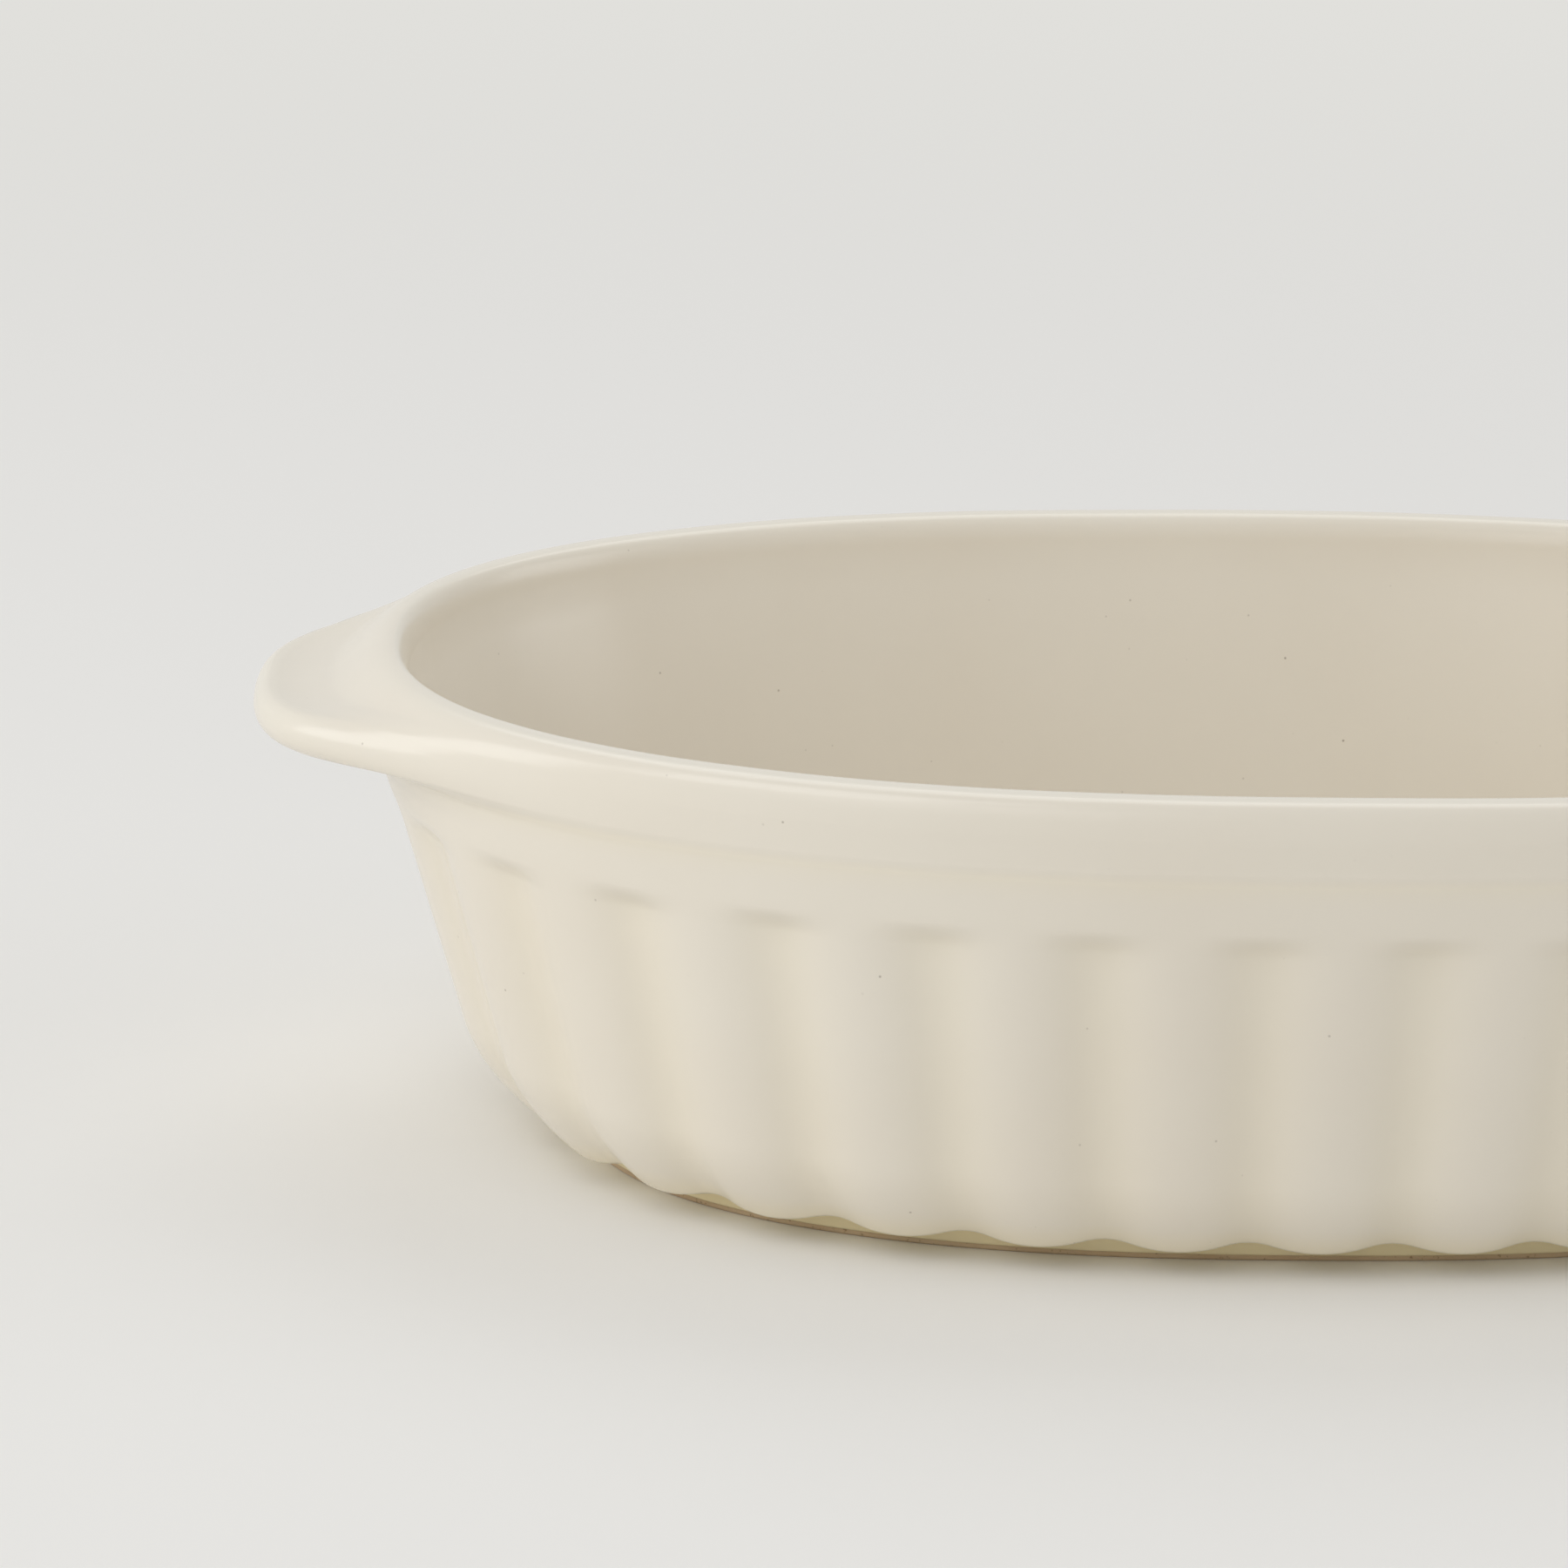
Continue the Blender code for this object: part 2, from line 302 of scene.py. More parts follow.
@dataclass(frozen=True)
class BareStoneware:
    """Buff stoneware, fired without glaze and wiped: matt, fine-grained, with small grog specks."""

    clay: str = "#CDB99A"
    toasted: str = "#B99C78"
    grog: str = "#8C7458"
    roughness: tuple[float, float] = (0.78, 0.92)
    blotch_width: float = 6 * MM
    blotch_detail: float = 4.0
    grain_width: float = 0.45 * MM
    grain_depth: float = 0.03 * MM
    grain_detail: float = 3.0
    grog_pick: tuple[float, float] = (0.62, 0.72)
    grog_strength: float = 0.8

    def build(self) -> bpy.types.Material:
        """Makes the clay's material.

        Returns:
            The material, on Object coordinates.
        """
        material = bpy.data.materials.new("bare_buff_stoneware")
        material.use_nodes = True
        tree = material.node_tree
        shader = tree.nodes["Principled BSDF"]
        place = add_node(tree, "ShaderNodeTexCoord", "Object")
        inputs = {"Vector": place, "Scale": 1.0 / self.blotch_width, "Detail": self.blotch_detail}
        blotches = add_node(tree, "ShaderNodeTexNoise", "Fac", inputs)
        inputs = {"Vector": place, "Scale": 1.0 / self.grain_width, "Detail": self.grain_detail}
        grain = add_node(tree, "ShaderNodeTexNoise", "Fac", inputs)
        inputs = {"Value": grain, **from_to(self.grog_pick, (0.0, self.grog_strength))}
        grog = add_node(tree, "ShaderNodeMapRange", "Result", inputs)
        body = layer_colours(tree, self.clay, [(blotches, self.toasted), (grog, self.grog)])
        inputs = {"Value": blotches, **from_to((0.0, 1.0), self.roughness)}
        dry = add_node(tree, "ShaderNodeMapRange", "Result", inputs)
        inputs = {"Height": grain, "Distance": self.grain_depth, "Strength": 1.0}
        rough = add_node(tree, "ShaderNodeBump", "Normal", inputs)
        for name, socket in (("Base Color", body), ("Roughness", dry), ("Normal", rough)):
            tree.links.new(socket, shader.inputs[name])
        return material


@dataclass(frozen=True)
class PaleFloor:
    """Plain pale matt floor, whose far part looks as even a white as the backdrop.

    Only the camera and the gloss see that white. The dish is lit by the floor as it is.
    """

    colour: str = "#F2F1EE"
    distance_white: str = "#E1E0DC"
    near: float = 0.3
    far: float = 0.85
    roughness: float = 0.9
    specular: float = 0.1

    def build(self) -> bpy.types.Material:
        """Makes the floor's material.

        Returns:
            The material, lit near the dish and even far away.
        """
        material = bpy.data.materials.new("matt_pale_floor")
        material.use_nodes = True
        tree = material.node_tree
        shader = tree.nodes["Principled BSDF"]
        shader.inputs["Base Color"].default_value = hex_colour(self.colour)
        shader.inputs["Roughness"].default_value = self.roughness
        shader.inputs["Specular IOR Level"].default_value = self.specular
        place = add_node(tree, "ShaderNodeTexCoord", "Object")
        away = add_node(tree, "ShaderNodeVectorMath", "Value", {0: place}, operation="LENGTH")
        inputs = {"Value": away, **from_to((self.near, self.far), (0.0, 1.0))}
        share = add_node(
            tree, "ShaderNodeMapRange", "Result", inputs, interpolation_type="SMOOTHSTEP"
        )
        camera_ray = add_node(tree, "ShaderNodeLightPath", "Is Camera Ray")
        inputs = {0: camera_ray, 1: camera_ray.node.outputs["Is Glossy Ray"]}
        seen = add_node(tree, "ShaderNodeMath", 0, inputs, operation="MAXIMUM")
        shown = add_node(tree, "ShaderNodeMath", 0, {0: share, 1: seen}, operation="MULTIPLY")
        inputs = {"Color": hex_colour(self.distance_white), "Strength": 1.0}
        glow = add_node(tree, "ShaderNodeEmission", 0, inputs)
        mixed = add_node(
            tree, "ShaderNodeMixShader", 0, {0: shown, 1: shader.outputs[0], 2: glow}
        )
        tree.links.new(mixed, tree.nodes["Material Output"].inputs["Surface"])
        return material


@dataclass(frozen=True)
class OvalPlan:
    """An oval seen from above. Its power is 2 for an ellipse, and more makes it squarer."""

    half_length: float
    half_width: float
    power: float

    def trace(self, count: int) -> tuple[np.ndarray, np.ndarray, np.ndarray]:
        """Spaces points evenly along the oval, counter-clockwise from its +X end.

        Args:
            count: How many points there are.

        Returns:
            The points, their outward normals, and each one's way along the oval from the nearer end.
        """
        angle = np.linspace(0.0, 2.0 * pi, SAMPLES_PER_POINT * count + 1)
        root = 2.0 / self.power
        x = self.half_length * np.sign(np.cos(angle)) * np.abs(np.cos(angle)) ** root
        y = self.half_width * np.sign(np.sin(angle)) * np.abs(np.sin(angle)) ** root
        along = np.concatenate([[0.0], np.cumsum(np.hypot(np.diff(x), np.diff(y)))])
        place = along[-1] * np.arange(count) / count
        points = np.column_stack([np.interp(place, along, x), np.interp(place, along, y)])
        half = np.array([self.half_length, self.half_width])
        unit = points / half
        normals = np.sign(unit) * np.abs(unit) ** (self.power - 1.0) / half
        normals /= np.linalg.norm(normals, axis=1)[:, None]
        half_turn = along[-1] / 2.0
        from_end = np.abs((place + half_turn / 2.0) % half_turn - half_turn / 2.0)
        return points, normals, from_end

    def ring(self, outward: float | np.ndarray, height: float | np.ndarray, count: int) -> np.ndarray:
        """A closed ring of points: the oval moved outward along its normals, at this height."""
        points, normals, _ = self.trace(count)
        moved = points + normals * np.broadcast_to(outward, count)[:, None]
        return np.column_stack([moved, np.broadcast_to(height, count)])

    def toward(self, other: "OvalPlan", share: float) -> "OvalPlan":
        """The oval that lies this share of the way to another."""
        return OvalPlan(
            self.half_length + (other.half_length - self.half_length) * share,
            self.half_width + (other.half_width - self.half_width) * share,
            self.power + (other.power - self.power) * share,
        )

    def grown(self, by: float) -> "OvalPlan":
        """The oval with both half sizes this much larger."""
        return OvalPlan(self.half_length + by, self.half_width + by, self.power)


@dataclass(frozen=True)
class Ring:
    """One ring of a lofted piece: its points, and how thick the glaze lies at each, which also paints a
    highlight on edges and bounce light low down.
    """

    points: np.ndarray
    depth: np.ndarray


def add_tube(name: str, rings: list[np.ndarray], closed_round: bool = False) -> bpy.types.Object:
    """Models a tube of rings: a grid, rolled onto the rings, its seam merged and its ends filled.

    Args:
        name: The piece's name.
        rings: The points of each ring, in order, all with the same count.
        closed_round: Whether the last ring joins the first, as on a torus. If not, both ends are
            filled.

    Returns:
        The piece, faces outwards. Its ring_place attribute counts its points ring by ring.
    """
    if closed_round:
        rings = [*rings, rings[0]]
    count, last = len(rings[0]), len(rings) - 1
    bpy.ops.object.select_all(action="DESELECT")
    bpy.ops.mesh.primitive_grid_add(x_subdivisions=count, y_subdivisions=last, size=2.0)
    piece = bpy.context.active_object
    piece.name = name
    piece.data.name = name
    flat = np.empty(len(piece.data.vertices) * 3)
    piece.data.vertices.foreach_get("co", flat)
    flat = (flat.reshape(-1, 3) + 1.0) / 2.0
    column = np.rint(flat[:, 0] * count).astype(int) % count
    level = np.rint(flat[:, 1] * last).astype(int)
    piece.data.vertices.foreach_set("co", np.stack(rings)[level, column].ravel())
    store = piece.data.attributes.new("ring_place", "INT", "POINT")
    store.data.foreach_set("value", (level * count + column).astype(np.int32))
    bpy.ops.object.mode_set(mode="EDIT")
    bpy.ops.mesh.select_all(action="SELECT")
    bpy.ops.mesh.remove_doubles(threshold=SEAM_GAP)
    if not closed_round:
        bpy.ops.mesh.fill_holes(sides=0)
        bpy.ops.mesh.select_all(action="SELECT")
    bpy.ops.mesh.normals_make_consistent(inside=False)
    bpy.ops.mesh.select_all(action="DESELECT")
    bpy.ops.object.mode_set(mode="OBJECT")
    return piece


@dataclass
class GlazedDish:
    """The dish: bowl, rim with its two lugs, fluted wall and foot, glazed all over but its base ring."""

    height: float = NODE_HIGH.z - NODE_LOW.z
    width: float = NODE_HIGH.y - NODE_LOW.y
    length: float = NODE_HIGH.x - NODE_LOW.x
    rim_power: float = 2.32
    rim_thickness: float = 5.7 * MM
    # Of the quarter rounds on the rim's inner and outer side
    rim_squareness: tuple[float, float] = (2.8, 4.0)
    foot_length: float = 147.4 * MM
    foot_width: float = 97.0 * MM
    foot_power: float = 2.44
    wall: float = 5.2 * MM
    floor: float = 5.2 * MM
    floor_fillet: float = 12.0 * MM
    floor_shares: tuple[float, ...] = (0.06, 0.25, 0.45, 0.62, 0.76, 0.87, 0.94, 0.98)
    # At the ends of the oval and at its sides
    heel_height: tuple[float, float] = (14.4 * MM, 11.0 * MM)
    heel_inset: tuple[float, float] = (8.6 * MM, 6.2 * MM)
    bead_height: float = 3.7 * MM
    collar_height: float = 8.5 * MM
    collar_step: float = 0.7 * MM
    collar_lean: float = 0.42 * MM
    collar_rounding: float = 1.6 * MM
    flutes: int = 32
    flute_depth: float = 1.3 * MM
    # Of a flute's width, the share that is hollow
    valley_share: float = 0.33
    plain_band: float = 4.9 * MM
    # The height over which the valleys fade out at the top
    run_out: float = 2.8 * MM
    foot_height: float = 2.6 * MM
    # The foot's face lies this far inside the heel's line at the table
    foot_setback: float = 1.0 * MM
    # The visible foot is this much wider all round than the CAD model's
    foot_widening: float = 0.7 * MM
    foot_ring_width: float = 5.5 * MM
    lip_rounding: float = 0.5 * MM
    # The base's hollow: its side's slope, and where its flat begins, both in from the base ring
    recess_slope: float = 0.5 * MM
    recess_edge: float = 1.5 * MM
    base_recess: float = 1.4 * MM
    base_shares: tuple[float, ...] = (1.0, 0.85, 0.65, 0.42, 0.2, 0.06)
    # The glaze ends this high above the table, in an edge that is rounded by this roll
    glaze_stop: float = 0.55 * MM
    glaze_roll: float = 0.3 * MM
    glaze_roll_angles: tuple[float, ...] = (0.5, 1.05, pi / 2)
    glaze_roll_corner: float = 0.3
    foot_face_middle: float = 1.5 * MM
    # Glaze gathers over this height above the lip, this many times as much as in a valley; it is drawn
    # lighter and yellower there, partly glaze that pools and partly painted bounce light
    pool_and_bounce_height: float = 4.0 * MM
    pool_and_bounce_strength: float = 3.0
    lug_reach: float = 11.8 * MM
    lug_half_width: float = 23.5 * MM
    lug_fullness: float = 3.8
    lug_slope: float = 7.4 * MM
    lug_drop: float = 3.9 * MM
    lug_thickness: float = 4.6 * MM
    lug_hollow: float = 0.3 * MM
    lug_root_fillet: float = 2.2 * MM
    # Round the lug's edge, from its top to its underside
    lug_edge_turn: tuple[float, float] = (radians(15.0), radians(165.0))
    # How the glaze lies along the rim's section: thinly on the crest, drawn paler there as a painted
    # highlight, even from the first step on, gathering under the collar from the second, and thinnest
    # and palest on a lug's edge at the third, again a painted highlight
    even_step: float = 2.0
    gathering_step: float = 9.5
    lug_highlight_step: float = 6.0
    lug_edge_highlight: float = 0.8
    steps_per_flute: int = 16
    # Rings on each stretch of the section, from the floor's edge over the rim to the foot
    inner_fillet_rings: int = 13
    inner_wall_rings: int = 9
    inner_bead_rings: int = 15
    bead_rings: int = 16
    face_rings: int = 13
    edge_rings: int = 9
    root_rings: int = 5
    band_rings: int = 4
    run_out_rings: int = 9
    wall_rings: int = 11
    heel_rings: int = 17
    lip_rings: int = 5
    unevenness: float = 0.16 * MM
    unevenness_width: float = 24 * MM
    # It fades in from the first height to the second
    uneven_heights: tuple[float, float] = (3.0 * MM, 9.0 * MM)
    sharp_edge: float = radians(60.0)
    finish: CreamGlaze = field(default_factory=CreamGlaze)

    def __post_init__(self) -> None:
        """Works out the plans and heights that follow from the sizes."""
        self.count = self.flutes * self.steps_per_flute
        half_length = self.length / 2.0 - self.lug_reach
        self.rim = OvalPlan(half_length, self.width / 2.0, self.rim_power)
        self.foot = OvalPlan(self.foot_length / 2.0, self.foot_width / 2.0, self.foot_power)
        self.shown_foot = self.foot.grown(self.foot_widening)
        self.collar_edge = self.height - self.collar_height
        self.flute_top = self.collar_edge - self.plain_band

    def build(self) -> bpy.types.Object:
        """Builds and dresses the dish.

        Returns:
            The finished piece, which stands for the CAD node.
        """
        rings = self.rings()
        dish = add_tube("glazed_dish", [ring.points for ring in rings])
        self.store_depth_and_painted_light(dish, rings)
        self.uneven(dish)
        shade_smooth(dish, self.sharp_edge)
        dish.data.materials.append(self.finish.build())
        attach(dish, BODY)
        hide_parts(NODE)
        return dish

    def rings(self) -> list[Ring]:
        """All rings in order, from the middle of the floor to the middle of the base."""
        return (
            self.floor_rings()
            + self.inside_rings()
            + self.rim_rings()
            + self.flute_rings()
            + self.foot_rings()
        )

    def wall_plan(self, height: float) -> OvalPlan:
        """The oval that the wall's outside would follow here if its heel didn't turn in."""
        top = self.rim.grown(-self.collar_step)
        bottom = self.foot.grown(self.foot_setback + self.heel_inset[0])
        return top.toward(bottom, (self.collar_edge - height) / self.collar_edge)

    def heel(self, height: float) -> tuple[np.ndarray, np.ndarray]:
        """How far the heel has turned in at this height, and its tilt there, at each point.

        The heel is taller and turns in further at the ends of the oval than at its sides.

        Args:
            height: A height on the wall.

        Returns:
            The turn in metres and the tilt in radians.
        """
        toward_end = self.foot.trace(self.count)[1][:, 0] ** 2
        heel_height, inset = (
            side + (end - side) * toward_end for end, side in (self.heel_height, self.heel_inset)
        )
        share = np.maximum(0.0, 1.0 - height / heel_height)
        return inset * share**2, np.arctan(2.0 * inset / heel_height * share)

    def even(self, points: np.ndarray) -> Ring:
        """A ring on which the glaze lies evenly."""
        return Ring(points, np.full(len(points), GlazeDepthAndPaintedLight.EVEN.value))

    def floor_rings(self) -> list[Ring]:
        """The flat floor, from near its middle out to the fillet."""
        edge = self.fillet_ring(0.0)
        return [self.even(edge * (share, share, 1.0)) for share in self.floor_shares]

    def fillet_ring(self, angle: float) -> np.ndarray:
        """A ring of the fillet inside, from the floor at 0 to the wall at a quarter turn."""
        height = self.base_recess + self.floor + self.floor_fillet * (1.0 - cos(angle))
        inward = self.wall + self.floor_fillet * (1.0 - sin(angle))
        return self.wall_plan(height).ring(-inward, height, self.count)

    def inside_rings(self) -> list[Ring]:
        """From the edge of the floor up the inside of the wall to just below the rim's crest."""
        angles = np.linspace(0.0, pi / 2, self.inner_fillet_rings)
        rings = [self.even(self.fillet_ring(angle)) for angle in angles]
        bead_foot = self.height - self.bead_height
        fillet_top = self.base_recess + self.floor + self.floor_fillet
        for height in np.linspace(fillet_top, bead_foot, self.inner_wall_rings)[1:]:
            inner = self.wall_plan(height).ring(-self.wall, height, self.count)
            rings.append(self.even(inner))
        crest = self.rim.ring(-self.rim_thickness / 2.0, self.height, self.count)
        power = self.rim_squareness[0] + (2.0 - self.rim_squareness[0]) * self.lug_weight()
        for angle in np.linspace(pi / 2, 0.0, self.inner_bead_rings)[1:-1]:
            across, down = self.quarter(angle, power)
            step = crest + (inner - crest) * across[:, None]
            step[:, 2] = self.height - self.bead_height * down
            # Thinning toward the crest, drawn paler: a painted highlight
            depth = GlazeDepthAndPaintedLight.EVEN.value * sin(angle)
            rings.append(Ring(step, np.full(self.count, depth)))
        return rings

    def quarter(
        self, angle: float, power: float | np.ndarray
    ) -> tuple[float | np.ndarray, float | np.ndarray]:
        """A point of a quarter round: 2 is an ellipse's, and more has a flatter top.

        Args:
            angle: From 0 on the crest to a quarter turn at the end.
            power: How square the quarter is.

        Returns:
            Its way across and its way down, both from 0 to 1.
        """
        return sin(angle) ** (2.0 / power), 1.0 - max(0.0, cos(angle)) ** (2.0 / power)

    def collar_point(self, step: float) -> tuple[float, float]:
        """A point of the rim's section where there is no lug.

        Args:
            step: From 0 on the crest to EDGE_END below the collar's edge.

        Returns:
            How far it lies out from the collar's face, and down from the crest.
        """
        if step <= BEAD_END:
            across, down = self.quarter(pi / 2 * step / BEAD_END, self.rim_squareness[1])
            return self.rim_thickness / 2.0 * (across - 1.0), self.bead_height * down
        face_end = self.collar_height - self.collar_rounding
        if step <= FACE_END:
            share = (step - BEAD_END) / (FACE_END - BEAD_END)
            out = -self.collar_lean * share
            return out, self.bead_height + (face_end - self.bead_height) * share
        share = (step - FACE_END) / (EDGE_END - FACE_END)
        out = -self.collar_lean - (self.collar_step - self.collar_lean) * float(ease(share))
        return out, face_end + self.collar_rounding * share

    def lug_point(self, step: float) -> tuple[float, float]:
        """A point of the section through the middle of a lug, for the same step on the collar.

        Args:
            step: From 0 on the rim's crest to FILLET_END at the root of the lug.

        Returns:
            How far it lies out from the collar's face, and down from the crest.
        """
        radius = self.lug_thickness / 2.0
        centre = self.lug_reach - radius
        crest = -self.rim_thickness / 2.0
        first, last = self.lug_edge_turn
        if step <= SLOPE_END:
            share = step / SLOPE_END
            return crest + self.lug_slope * share, self.lug_drop * float(ease(share))
        if step <= BEAD_END:
            share = (step - SLOPE_END) / (BEAD_END - SLOPE_END)
            flat = crest + self.lug_slope
            out = flat + (centre + radius * sin(first) - flat) * share
            dish = self.lug_hollow * 4.0 * share * (1.0 - share)
            return out, self.lug_drop + dish + radius * (1.0 - cos(first)) * share**2
        if step <= FACE_END:
            angle = first + (last - first) * (step - BEAD_END) / (FACE_END - BEAD_END)
            return centre + radius * sin(angle), self.lug_drop + radius * (1.0 - cos(angle))
        underside = self.lug_drop + self.lug_thickness
        root = self.lug_root_fillet - self.collar_step
        if step <= EDGE_END:
            share = (step - FACE_END) / (EDGE_END - FACE_END)
            start = centre + radius * sin(last)
            out = start + (root - start) * share
            return out, underside - radius * (1.0 + cos(last)) * (1.0 - share) ** 2
        angle = pi / 2 * (step - EDGE_END) / (FILLET_END - EDGE_END)
        out = root - self.lug_root_fillet * sin(angle)
        return out, underside + self.lug_root_fillet * (1.0 - cos(angle))

    def lug_weight(self) -> np.ndarray:
        """How much of a lug there is at each point of the rim, from 1 in its middle to about 0."""
        share = self.rim.trace(self.count)[2] / self.lug_half_width
        return 1.0 / (1.0 + share**self.lug_fullness)

    def rim_rings(self) -> list[Ring]:
        """From the crest over the collar, and over the lugs, to the top of the plain band."""
        weight = self.lug_weight()
        even, corner = GlazeDepthAndPaintedLight.EVEN.value, GlazeDepthAndPaintedLight.GATHERED.value
        start = self.gathering_step
        steps = np.concatenate(
            [
                np.linspace(0.0, BEAD_END, self.bead_rings),
                np.linspace(BEAD_END, FACE_END, self.face_rings)[1:],
                np.linspace(FACE_END, EDGE_END, self.edge_rings)[1:],
            ]
        )
        rings = []
        for step in steps:
            (out, down), (lug_out, lug_down) = self.collar_point(step), self.lug_point(step)
            plain = self.rim.ring(out, self.height - down, self.count)
            lug = self.rim.ring(lug_out, self.height - lug_down, self.count)
            # Paler toward the crest and on a lug's edge, where the glaze runs thinly: a painted
            # highlight
            depth = even * float(ease(step / self.even_step))
            depth += (corner - even) * float(ease((step - start) / (EDGE_END - start)))
            edge = np.exp(-((step - self.lug_highlight_step) ** 2) / 2.0)
            on_lug = even * (1.0 - self.lug_edge_highlight * edge)
            mixed = depth + (on_lug - depth) * weight
            rings.append(Ring(plain + (lug - plain) * weight[:, None], mixed))
        root = self.height - max(self.collar_height, self.lug_drop + self.lug_thickness)
        for share in np.linspace(0.0, 1.0, self.root_rings)[1:]:
            lug_out, lug_down = self.lug_point(EDGE_END + (FILLET_END - EDGE_END) * share)
            height = root - self.lug_root_fillet * (1.0 - cos(pi / 2 * share))
            plain = self.wall_plan(height).ring(0.0, height, self.count)
            lug = self.rim.ring(lug_out, self.height - lug_down, self.count)
            if share == 1.0:
                lug = plain
            mixed = np.full(self.count, corner + (even - corner) * share)
            rings.append(Ring(plain + (lug - plain) * weight[:, None], mixed))
        return rings

    def valley(self) -> np.ndarray:
        """How deep each point of a fluted ring lies, from 0 on a flute's crest to 1 in a valley."""
        turn = np.arange(self.count) / self.steps_per_flute
        across = np.abs((turn + 0.5) % 1.0 - 0.5) * 2.0
        crest = across**2 / (1.0 - self.valley_share)
        hollow = 1.0 - (1.0 - across) ** 2 / self.valley_share
        return np.where(across < 1.0 - self.valley_share, crest, hollow)

    def fluted_ring(self, height: float, inward: float = 0.0) -> Ring:
        """A ring on the fluted wall, with the valleys' depth square to the wall.

        Args:
            height: The height of the flutes' crests.
            inward: How far it has rounded in at the lip.

        Returns:
            The ring, with a little more glaze in the valleys, and low on the wall a lighter, yellower
            tone that is partly glaze that pools there and partly painted bounce light.
        """
        share = float(ease((self.flute_top - height) / self.run_out)) * self.valley()
        depth = self.flute_depth * share
        turn, tilt = self.heel(height)
        plan = self.wall_plan(height)
        points = plan.ring(-turn - inward - depth * np.cos(tilt), height, self.count)
        points[:, 2] += depth * np.sin(tilt)
        # Low on the wall the tone turns lighter and yellower: partly glaze that pools, partly painted
        # bounce light
        low = float(ease(1.0 - (height - self.foot_height) / self.pool_and_bounce_height))
        more = GlazeDepthAndPaintedLight.GATHERED.value - GlazeDepthAndPaintedLight.EVEN.value
        gathered_and_bounce = more * np.maximum(share, self.pool_and_bounce_strength * low)
        return Ring(points, GlazeDepthAndPaintedLight.EVEN.value + gathered_and_bounce)

    def flute_rings(self) -> list[Ring]:
        """From the plain band down the flutes to their scalloped lip."""
        root = self.height - max(self.collar_height, self.lug_drop + self.lug_thickness)
        band = root - self.lug_root_fillet
        full = self.flute_top - self.run_out
        lip = self.foot_height + self.lip_rounding
        heights = np.concatenate(
            [
                np.linspace(band, self.flute_top, self.band_rings)[1:],
                np.linspace(self.flute_top, full, self.run_out_rings)[1:],
                np.linspace(full, self.heel_height[0], self.wall_rings)[1:],
                np.linspace(self.heel_height[0], lip, self.heel_rings)[1:],
            ]
        )
        rings = [self.fluted_ring(height) for height in heights]
        for angle in np.linspace(0.0, pi / 2, self.lip_rings)[1:]:
            height = lip - self.lip_rounding * sin(angle)
            rings.append(self.fluted_ring(height, self.lip_rounding * (1.0 - cos(angle))))
        return rings

    def foot_rings(self) -> list[Ring]:
        """From the foot's face to the glaze's edge, over the base ring and across the base."""
        roll, top = self.glaze_roll, self.glaze_stop
        section = [(0.0, self.foot_height), (0.0, self.foot_face_middle), (0.0, top + roll)]
        section += [
            (roll * (1.0 - cos(angle)), top + roll * (1.0 - sin(angle)))
            for angle in self.glaze_roll_angles
        ]
        inner = self.foot_ring_width
        corner = self.glaze_roll_corner * roll
        section += [(inner - roll, top), (inner - corner, top + corner)]
        section += [(inner, top + roll), (inner + self.recess_slope, self.base_recess)]
        # The foot's glazed face takes the fullest tone: lighter and yellower, partly glaze that pools,
        # partly painted bounce light
        depth = GlazeDepthAndPaintedLight.POOLED.value
        rings = [
            Ring(self.shown_foot.ring(-inward, height, self.count), np.full(self.count, depth))
            for inward, height in section
        ]
        edge = self.shown_foot.ring(-(inner + self.recess_edge), self.base_recess, self.count)
        return rings + [self.even(edge * (share, share, 1.0)) for share in self.base_shares]

    def store_depth_and_painted_light(self, dish: bpy.types.Object, rings: list[Ring]) -> None:
        """Writes the glaze's depth on the dish's points, for its material, which also paints from it a
        highlight on edges and bounce light low down.

        Args:
            dish: The dish.
            rings: The rings that its points lie on.
        """
        places = np.empty(len(dish.data.vertices), np.int32)
        dish.data.attributes["ring_place"].data.foreach_get("value", places)
        depths_and_painted_light = np.concatenate([ring.depth for ring in rings]).astype(np.float32)
        store = dish.data.attributes.new("glaze_depth_and_painted_light", "FLOAT", "POINT")
        store.data.foreach_set("value", depths_and_painted_light[places])
        dish.data.attributes.remove(dish.data.attributes["ring_place"])

    def uneven(self, dish: bpy.types.Object) -> None:
        """Gives the surface the slight unevenness of a cast and glazed body, but not its foot.

        Args:
            dish: The dish, whose modifier is applied here.
        """
        group = dish.vertex_groups.new(name="above_foot")
        start, full = self.uneven_heights
        for vertex in dish.data.vertices:
            group.add([vertex.index], float(ease((vertex.co.z - start) / (full - start))), "REPLACE")
        texture = bpy.data.textures.new("cast_unevenness", "CLOUDS")
        texture.noise_scale = self.unevenness_width
        texture.noise_depth = 1
        displace = dish.modifiers.new("unevenness", "DISPLACE")
        displace.texture = texture
        displace.texture_coords = "LOCAL"
        displace.direction = "NORMAL"
        displace.mid_level = 0.5
        displace.strength = self.unevenness
        displace.vertex_group = group.name
        bpy.ops.object.modifier_apply(modifier=displace.name)
        dish.vertex_groups.clear()


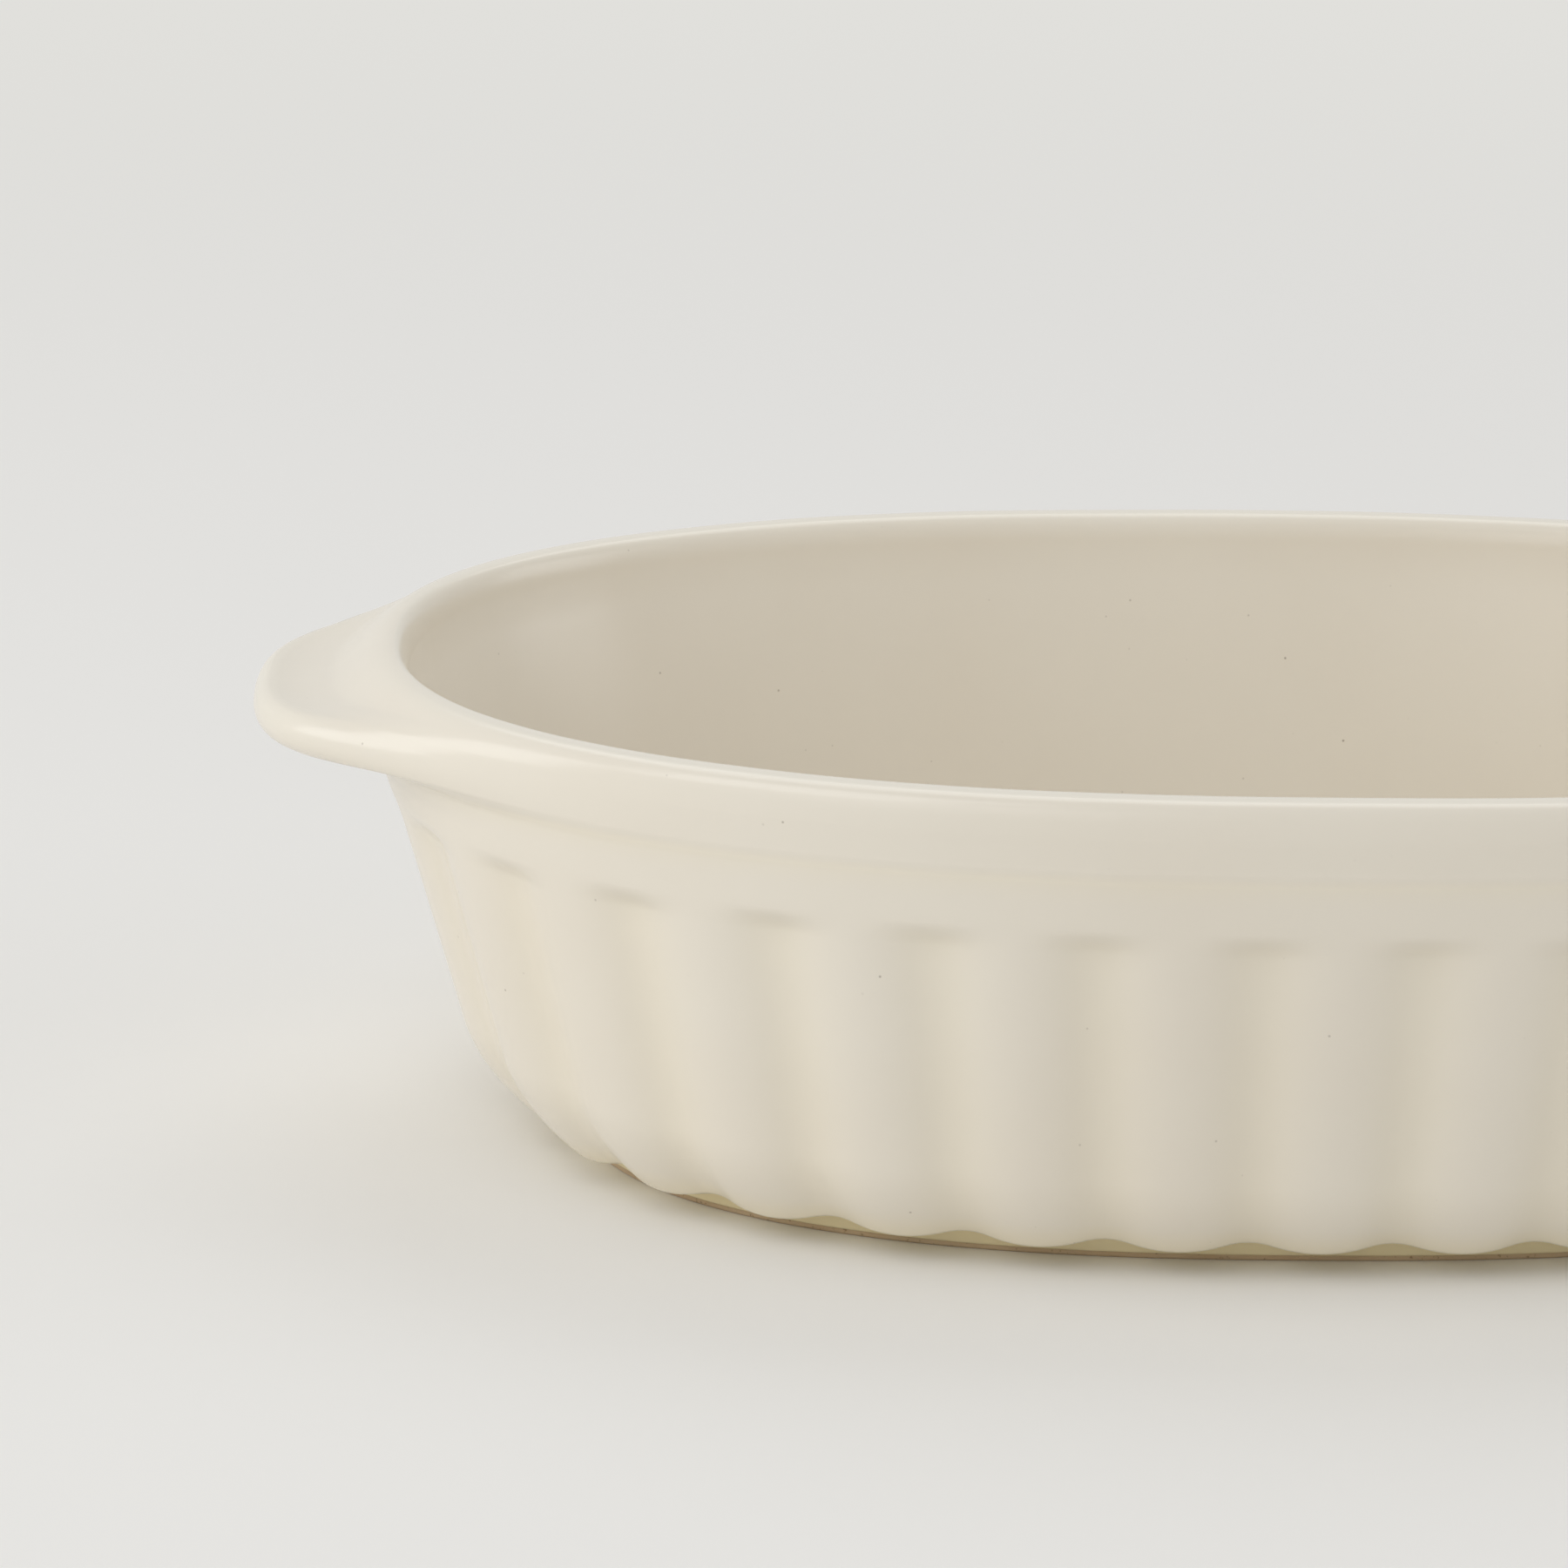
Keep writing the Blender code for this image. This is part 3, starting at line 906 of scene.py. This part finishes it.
@dataclass
class BareFootRing:
    """The ring of bare clay that the dish stands on, wiped clean of glaze before the firing."""

    foot: OvalPlan
    ring_width: float
    glaze_stop: float
    # It stands back from the foot's glazed face by this much
    glaze_coat: float = 0.15 * MM
    edge_rounding: float = 0.25 * MM
    # Its top is hidden this far up in the glazed dish
    hidden_depth: float = 0.25 * MM
    sharp_edge: float = radians(50.0)
    corner_points: int = 5
    count: int = 384
    finish: BareStoneware = field(default_factory=BareStoneware)

    def build(self) -> bpy.types.Object:
        """Builds and dresses the ring.

        Returns:
            The finished piece, whose top is inside the glazed dish.
        """
        outer, inner = self.glaze_coat, self.ring_width - self.glaze_coat
        top = self.glaze_stop + self.hidden_depth
        section = [(outer + self.edge_rounding, top), (outer, self.glaze_stop)]
        turn = np.linspace(0.0, pi / 2, self.corner_points)
        section += [self.corner(outer, angle, 1.0) for angle in turn]
        section += [((outer + inner) / 2.0, 0.0)]
        section += [self.corner(inner, angle, -1.0) for angle in reversed(turn)]
        section += [(inner, self.glaze_stop), (inner - self.edge_rounding, top)]
        rings = [self.foot.ring(-inward, height, self.count) for inward, height in section]
        piece = add_tube("bare_foot_ring", rings, closed_round=True)
        piece.data.attributes.remove(piece.data.attributes["ring_place"])
        shade_smooth(piece, self.sharp_edge)
        piece.data.materials.append(self.finish.build())
        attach(piece, BODY)
        return piece

    def corner(self, face: float, angle: float, side: float) -> tuple[float, float]:
        """A point of a rounded lower corner.

        Args:
            face: The upright face, as its way in from the foot's plan.
            angle: From 0 on that face to a quarter turn on the standing face.
            side: 1 at the outer face and -1 at the inner one.

        Returns:
            How far it lies in from the foot's plan, and its height.
        """
        inward = face + side * self.edge_rounding * (1.0 - cos(angle))
        return inward, self.edge_rounding * (1.0 - sin(angle))


@dataclass(frozen=True)
class Lamp:
    """A soft square lamp that points at the dish, with its power in watts."""

    name: str
    place: tuple[float, float, float]
    side: float
    power: float
    colour: str
    aim: tuple[float, float, float] = (0.0, 0.0, 0.03)

    def build(self) -> None:
        """Hangs the lamp, out of the camera's sight."""
        data = bpy.data.lights.new(self.name, "AREA")
        data.shape = "SQUARE"
        data.size = self.side
        data.energy = self.power
        data.color = hex_colour(self.colour)[:3]
        lamp = bpy.data.objects.new(self.name, data)
        lamp.visible_camera = False
        lamp.location = self.place
        toward = Vector(self.aim) - Vector(self.place)
        lamp.rotation_euler = toward.to_track_quat("-Z", "Y").to_euler()
        bpy.context.scene.collection.objects.link(lamp)


@dataclass
class Studio:
    """Pale floor, soft lamps, even surroundings, and the camera at the photograph's angle.

    The camera's sizes come from the dish's own edges: focal length and horizon in pixels of a frame
    that is frame_pixels wide and high, its sensor in millimetres, and its place in the dish's frame.
    """

    frame_pixels: float = 1800.0
    focal_pixels: float = 7608.8
    horizon_pixel: float = -1145.2
    sensor: float = 36.0
    camera_place: tuple[float, float, float] = (-0.0732, -0.6796, 0.2189)
    yaw: float = 0.0301
    roll: float = 0.0158
    floor_side: float = 40.0
    floor_cuts: int = 8
    surround: str = "#FFFFFF"
    surround_strength: float = 0.475
    backdrop: str = "#E1E0DC"
    mirrored: str = "#E2E1DD"
    lamps: tuple[Lamp, ...] = (
        Lamp("left_window", (-1.3, 0.0, 0.45), 0.8, 3.6, "#FFFFFF"),
        Lamp("front_left_softbox", (-0.7, -0.7, 0.9), 0.8, 3.7, "#FFFFFF"),
        Lamp("front_reflector", (-0.5, -1.2, 0.43), 0.8, 1.35, "#FFFFFF"),
        Lamp("back_softbox", (0.0, 0.75, 1.15), 1.0, 3.4, "#FFFFFF"),
        Lamp("right_reflector", (1.3, 0.0, 0.45), 0.8, 2.7, "#FFFFFF"),
    )

    def build(self) -> None:
        """Sets up the floor, the light and the camera."""
        self.lay_floor()
        for lamp in self.lamps:
            lamp.build()
        self.surround_light()
        self.place_camera()
        bpy.context.scene.view_settings.view_transform = "Standard"

    def lay_floor(self) -> None:
        """Lays the floor under the foot."""
        bpy.ops.object.select_all(action="DESELECT")
        bpy.ops.mesh.primitive_grid_add(
            x_subdivisions=self.floor_cuts, y_subdivisions=self.floor_cuts, size=self.floor_side
        )
        floor = bpy.context.active_object
        floor.name = "pale_floor"
        floor.data.materials.append(PaleFloor().build())

    def surround_light(self) -> None:
        """Lights the dish evenly from all round.

        The camera and the gloss each see a plain pale wall instead, as in a white studio.
        """
        world = bpy.data.worlds.new("studio_surround")
        bpy.context.scene.world = world
        world.use_nodes = True
        tree = world.node_tree
        light = tree.nodes["Background"]
        light.inputs["Color"].default_value = hex_colour(self.surround)
        light.inputs["Strength"].default_value = self.surround_strength
        mixed = light.outputs[0]
        for ray, colour in (("Is Glossy Ray", self.mirrored), ("Is Camera Ray", self.backdrop)):
            inputs = {"Color": hex_colour(colour), "Strength": 1.0}
            plain = add_node(tree, "ShaderNodeBackground", 0, inputs)
            inputs = {0: add_node(tree, "ShaderNodeLightPath", ray), 1: mixed, 2: plain}
            mixed = add_node(tree, "ShaderNodeMixShader", 0, inputs)
        tree.links.new(mixed, tree.nodes["World Output"].inputs["Surface"])

    def place_camera(self) -> None:
        """Places the camera as it stood for the photograph, without shift or blur."""
        data = bpy.data.cameras.new("camera")
        data.sensor_width = self.sensor
        data.lens = self.focal_pixels / self.frame_pixels * self.sensor
        camera = bpy.data.objects.new("camera", data)
        pitch = atan((self.frame_pixels / 2.0 - self.horizon_pixel) / self.focal_pixels)
        right = Vector((cos(self.yaw), -sin(self.yaw), 0.0))
        ahead = Vector((sin(self.yaw), cos(self.yaw), 0.0))
        up = ahead * sin(pitch) + Vector((0.0, 0.0, cos(pitch)))
        back = -(ahead * cos(pitch) - Vector((0.0, 0.0, sin(pitch))))
        turned = Matrix((right, up, back)).transposed().to_4x4()
        place = Matrix.Translation(self.camera_place)
        camera.matrix_world = place @ turned @ Matrix.Rotation(self.roll, 4, "Z")
        bpy.context.scene.collection.objects.link(camera)
        bpy.context.scene.camera = camera


def report(piece: bpy.types.Object) -> None:
    """Logs a finished piece's name and size."""
    size = ", ".join(f"{side / MM:.1f}" for side in piece.dimensions)
    log.info("%s: %s mm, %d faces", piece.name, size, len(piece.data.polygons))


def main() -> None:
    """Builds the dish and the studio round it."""
    logging.basicConfig(level=logging.INFO)
    dish = GlazedDish()
    report(dish.build())
    ring = BareFootRing(dish.shown_foot, dish.foot_ring_width, dish.glaze_stop)
    report(ring.build())
    Studio().build()


if __name__ == "__main__":
    main()
